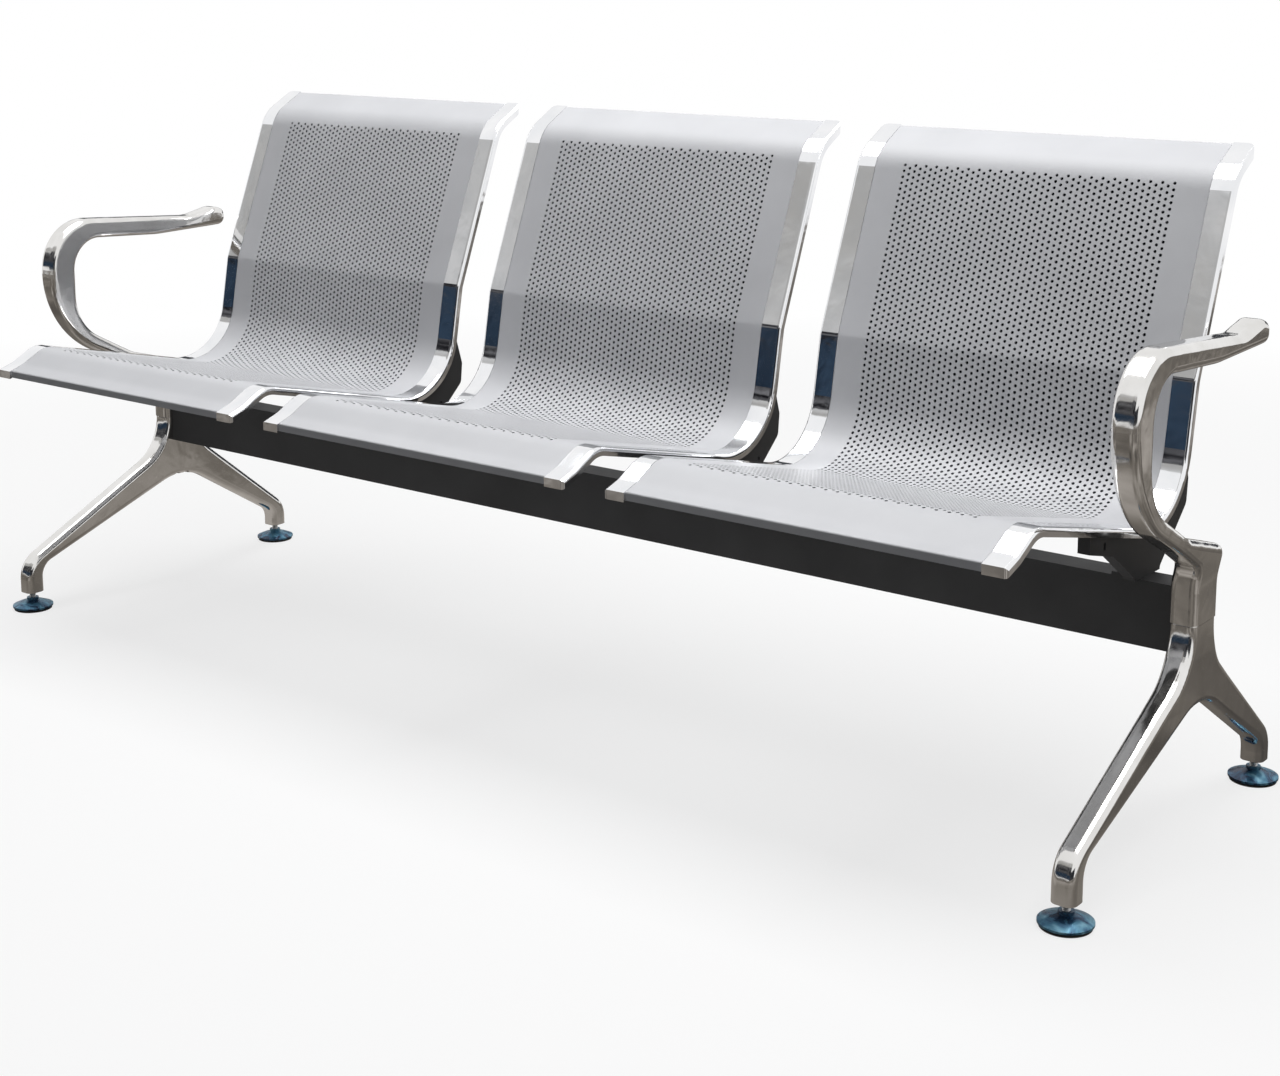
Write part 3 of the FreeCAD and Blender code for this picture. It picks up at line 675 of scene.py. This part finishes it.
def dress_solids():
    finishes = {
        "beam_tapping_plates": (zinc, "zinc_steel"), "beam": (black, "black_coat"),
        "bracket_bolts": (zinc, "zinc_steel"), "bracket": (black, "black_coat"),
        "rail_screws": (zinc, "zinc_steel"), "rail": (rail_metal, "bright_rail"),
        "leg": (cast_metal, "bright_casting"), "armrest": (cast_metal, "bright_casting"),
        "clamp_bolts": (zinc, "zinc_steel"), "foot_disc": (film, "filmed_disc"),
        "foot_pad": (rubber, "pad_rubber"), "foot_stud": (zinc, "zinc_steel"),
        "seat_shell": (coat, "shell_coat"),
    }
    for name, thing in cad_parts.items():
        kind = next(start for start in finishes if name.startswith(start))
        finished(thing, *finishes[kind])


def copied(thing, name):
    copy = bpy.data.objects.new(name, thing.data)
    bpy.context.scene.collection.objects.link(copy)
    return copy


def place_sheets():
    first = build_sheet_mesh()
    first_shade = build_shade_mesh()
    finished(first, coat, "shell_coat")
    finished(first_shade, shade, "shell_coat")
    for number in seats:
        middle_seat = number == 2
        sheet = first if middle_seat else copied(first, f"seat_sheet_{number}")
        # The dark discs of painted shade in the holes
        dark = first_shade if middle_seat else copied(first_shade, f"hole_shade_{number}")
        fold_bevel(sheet)
        for thing in (sheet, dark):
            thing.location.x = seat_middle(number)
            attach(thing, "root")
        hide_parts(f"seat_shell_{number}")
        screws = shell_screws(number)
        finished(screws, zinc, "zinc_steel")
        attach(screws, "root")


def place_threads():
    for side in sides:
        for place in feet:
            tag = f"{place}_{side}"
            stud = threaded_stud(tag)
            finished(stud, zinc, "zinc_steel")
            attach(stud, f"stud_{tag}")
            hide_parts(f"foot_stud_{tag}")


# Surroundings

def seen_directly(tree):
    """1 for rays that show the background: from the camera, in gloss and through glass."""
    rays = tree.nodes.new("ShaderNodeLightPath")
    total = rays.outputs["Is Camera Ray"]
    for ray in ("Is Glossy Ray", "Is Transmission Ray"):
        node = tree.nodes.new("ShaderNodeMath")
        node.operation = "MAXIMUM"
        tree.links.new(total, node.inputs[0])
        tree.links.new(rays.outputs[ray], node.inputs[1])
        total = node.outputs[0]
    return total


def light_world():
    world = bpy.data.worlds.new("studio")
    bpy.context.scene.world = world
    world.use_nodes = True
    tree = world.node_tree
    tree.nodes.clear()
    soft = tree.nodes.new("ShaderNodeBackground")
    soft.inputs["Color"].default_value = (*world_tint, 1)
    soft.inputs["Strength"].default_value = world_level
    white = tree.nodes.new("ShaderNodeBackground")
    white.inputs["Color"].default_value = (1, 1, 1, 1)
    white.inputs["Strength"].default_value = 1
    mix = tree.nodes.new("ShaderNodeMixShader")
    output = tree.nodes.new("ShaderNodeOutputWorld")
    tree.links.new(seen_directly(tree), mix.inputs[0])
    tree.links.new(soft.outputs[0], mix.inputs[1])
    tree.links.new(white.outputs[0], mix.inputs[2])
    tree.links.new(mix.outputs[0], output.inputs["Surface"])


def plane(name, centre, size, facing):
    """A rectangle at centre, size[0] across and size[1] up, facing a point."""
    thing = mesh_object(name, [
        (-size[0] / 2, -size[1] / 2, 0), (size[0] / 2, -size[1] / 2, 0),
        (size[0] / 2, size[1] / 2, 0), (-size[0] / 2, size[1] / 2, 0),
    ], [(0, 1, 2, 3)])
    thing.location = centre
    direction = Vector(facing) - Vector(centre)
    thing.rotation_mode = "QUATERNION"
    thing.rotation_quaternion = direction.to_track_quat("Z", "Y")
    return thing


def lay_floor():
    """A pale floor that keeps the bench's shadow and runs out to the white of the world."""
    floor = plane("floor", (0, 0, 0), (floor_size, floor_size), (0, 0, 1))
    material = bpy.data.materials.new("floor")
    material.use_nodes = True
    tree = material.node_tree
    tree.nodes.clear()
    matt = tree.nodes.new("ShaderNodeBsdfDiffuse")
    matt.inputs["Color"].default_value = (floor_albedo, floor_albedo, floor_albedo, 1)
    seen = seen_directly(tree)
    strength = tree.nodes.new("ShaderNodeMath")
    strength.operation = "MULTIPLY"
    strength.inputs[1].default_value = floor_shine
    glow = tree.nodes.new("ShaderNodeEmission")
    near = tree.nodes.new("ShaderNodeAddShader")
    far = tree.nodes.new("ShaderNodeMixShader")
    white = tree.nodes.new("ShaderNodeEmission")
    coords = tree.nodes.new("ShaderNodeTexCoord")
    distance = tree.nodes.new("ShaderNodeVectorMath")
    distance.operation = "LENGTH"
    whole = tree.nodes.new("ShaderNodeMixShader")
    output = tree.nodes.new("ShaderNodeOutputMaterial")
    tree.links.new(seen, strength.inputs[0])
    tree.links.new(strength.outputs[0], glow.inputs["Strength"])
    tree.links.new(matt.outputs[0], near.inputs[0])
    tree.links.new(glow.outputs[0], near.inputs[1])
    tree.links.new(seen, far.inputs[0])
    tree.links.new(matt.outputs[0], far.inputs[1])
    tree.links.new(white.outputs[0], far.inputs[2])
    tree.links.new(coords.outputs["Object"], distance.inputs[0])
    fade = remapped(tree, distance.outputs["Value"], (floor_near, floor_far), (0, 1))
    tree.links.new(fade, whole.inputs[0])
    tree.links.new(near.outputs[0], whole.inputs[1])
    tree.links.new(far.outputs[0], whole.inputs[2])
    tree.links.new(whole.outputs[0], output.inputs["Surface"])
    floor.data.materials.append(material)


def reflection_card(name, centre, size, facing, scale, stops):
    """A mottled glowing card that only shows in the bright metal, as in a studio: a painted reflection,
    not a lamp.
    """
    card = plane(name, centre, size, facing)
    material = bpy.data.materials.new(name)
    material.use_nodes = True
    tree = material.node_tree
    tree.nodes.clear()
    glow = tree.nodes.new("ShaderNodeEmission")
    tree.links.new(coloured(tree, noise(tree, scale=scale), stops), glow.inputs["Color"])
    output = tree.nodes.new("ShaderNodeOutputMaterial")
    tree.links.new(glow.outputs[0], output.inputs["Surface"])
    card.data.materials.append(material)
    # Seen only in gloss: the card lights nothing and casts no shadow
    card.visible_camera = False
    card.visible_diffuse = False
    card.visible_shadow = False
    card.visible_transmission = False


def area_lamp(name, place, target, size, power):
    data = bpy.data.lights.new(name, "AREA")
    data.shape = "RECTANGLE"
    data.size, data.size_y = size
    data.energy = power
    lamp = bpy.data.objects.new(name, data)
    bpy.context.scene.collection.objects.link(lamp)
    lamp.location = place
    direction = Vector(target) - Vector(place)
    lamp.rotation_mode = "QUATERNION"
    lamp.rotation_quaternion = direction.to_track_quat("-Z", "Y")
    return lamp


def place_camera():
    data = bpy.data.cameras.new("camera")
    data.lens = camera_lens
    data.sensor_width = camera_sensor
    data.shift_x, data.shift_y = camera_shift
    data.clip_start, data.clip_end = camera_clip
    camera = bpy.data.objects.new("camera", data)
    bpy.context.scene.collection.objects.link(camera)
    ahead = Vector((
        -sin(camera_yaw) * cos(camera_pitch), cos(camera_yaw) * cos(camera_pitch), -sin(camera_pitch),
    ))
    level = Vector((cos(camera_yaw), sin(camera_yaw), 0))
    upward = level.cross(ahead)
    right = level * cos(camera_roll) + upward * sin(camera_roll)
    top = right.cross(ahead)
    turn = Matrix((right, top, -ahead)).transposed()
    camera.matrix_world = Matrix.Translation(camera_place) @ turn.to_4x4()
    bpy.context.scene.camera = camera


dress_solids()
place_sheets()
place_threads()

bpy.context.scene.view_settings.view_transform = "Standard"
light_world()
lay_floor()
area_lamp("overhead", overhead_place, overhead_target, overhead_size, overhead_power)
bounce = area_lamp("floor_bounce", bounce_place, bounce_target, bounce_size, bounce_power)
bounce.visible_glossy = False
# Painted reflections: glowing cards that show only in the metal
for name, card in reflection_cards.items():
    reflection_card(name, *card)
place_camera()
